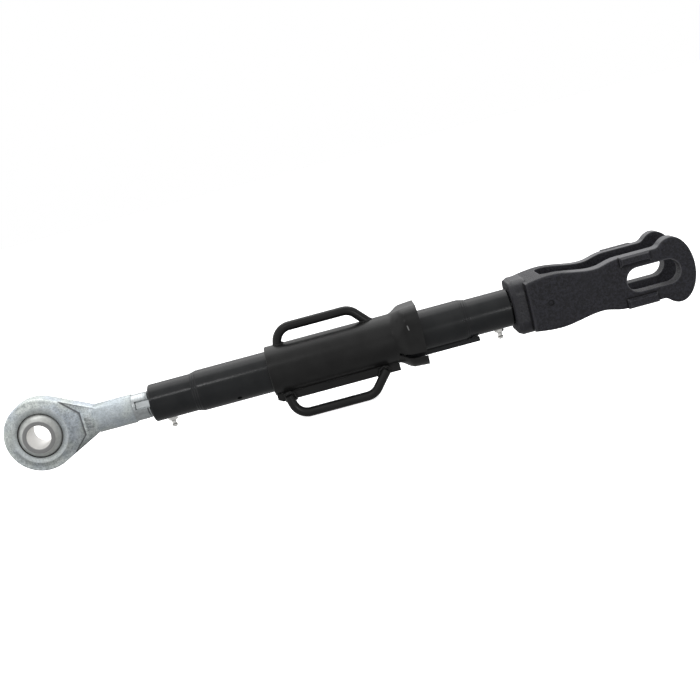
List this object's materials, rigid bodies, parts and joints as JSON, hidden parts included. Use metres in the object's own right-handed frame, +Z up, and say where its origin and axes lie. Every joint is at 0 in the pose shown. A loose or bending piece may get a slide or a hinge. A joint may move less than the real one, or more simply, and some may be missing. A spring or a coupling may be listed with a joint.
{
  "type": "tractor top link",
  "caption": "Turnbuckle link for a tractor hitch: ball eye, swaged tube with sliding lock sleeve and handles, and a forged fork with a long pin slot.",
  "frame": {"origin": "centre of the swivel ball's pin bore", "axes": "+X along the link from the ball eye to the fork, +Y along both pins, +Z up with the key bar and grease nipples below"},
  "size_m": [0.7575, 0.084, 0.1036],
  "materials": {
    "forged_black": "black paint over a rough forging",
    "thread_steel": "rolled thread, greased",
    "wiper_rubber": "matt black rubber",
    "tube_black": "satin black paint on drawn tube",
    "nipple_zinc": "bright zinc plate",
    "sleeve_black": "satin black paint over welds",
    "zinc_forging": "zinc plated forging, slightly blue",
    "ball_steel": "ground bearing steel"
  },
  "bodies": {
    "clevis": {"clevis_fork": "forged_black", "clevis_spindle": "thread_steel", "spindle_pin": "forged_black"},
    "wiper": {"clevis_wiper": "wiper_rubber"},
    "tube": {"tube": "tube_black", "rod_wiper": "wiper_rubber", "key_bar": "tube_black", "nipple_left_body": "nipple_zinc", "nipple_left_spring": "nipple_zinc", "nipple_right_body": "nipple_zinc", "nipple_right_spring": "nipple_zinc"},
    "left_check": {"nipple_left_ball": "nipple_zinc"},
    "right_check": {"nipple_right_ball": "nipple_zinc"},
    "sleeve": {"lock_sleeve": "sleeve_black", "key_channel": "sleeve_black", "bell_mouth": "sleeve_black", "guide_lip": "sleeve_black", "handle_upper": "sleeve_black", "handle_lower": "sleeve_black"},
    "rod": {"rod_end": "zinc_forging"},
    "ball": {"swivel_ball": "ball_steel"}
  },
  "joints": [
    {"name": "tube_advance", "type": "slide", "parent": "clevis", "child": "wiper", "axis": [-1, 0, 0], "range_m": [0, 0.0901]},
    {"name": "tube_turn", "type": "hinge", "parent": "wiper", "child": "tube", "pos_m": [0, 0, 0], "axis": [1, 0, 0], "range_deg": [0, 10800]},
    {"name": "rod_advance", "type": "slide", "parent": "clevis", "child": "rod", "axis": [-1, 0, 0], "range_m": [0, 0.1802]},
    {"name": "sleeve_lock", "type": "slide", "parent": "tube", "child": "sleeve", "axis": [1, 0, 0], "range_m": [0, 0.115]},
    {"name": "ball_sway", "type": "hinge", "parent": "rod", "child": "ball", "pos_m": [0, 0, 0], "axis": [0, 0, 1], "range_deg": [-15, 15]},
    {"name": "left_check_lift", "type": "slide", "parent": "tube", "child": "left_check", "axis": [0, 0, 1], "range_m": [0, 0.0006], "stiffness_N_per_m": 100, "springref_m": -0.001, "deforming": ["nipple_left_spring"]},
    {"name": "right_check_lift", "type": "slide", "parent": "tube", "child": "right_check", "axis": [0, 0, 1], "range_m": [0, 0.0006], "stiffness_N_per_m": 100, "springref_m": -0.001, "deforming": ["nipple_right_spring"]}
  ],
  "couplings": [
    {"joint": "tube_advance", "follows": "tube_turn", "m_per_rad": 0.00047746},
    {"joint": "rod_advance", "follows": "tube_turn", "m_per_rad": 0.00095493}
  ]
}
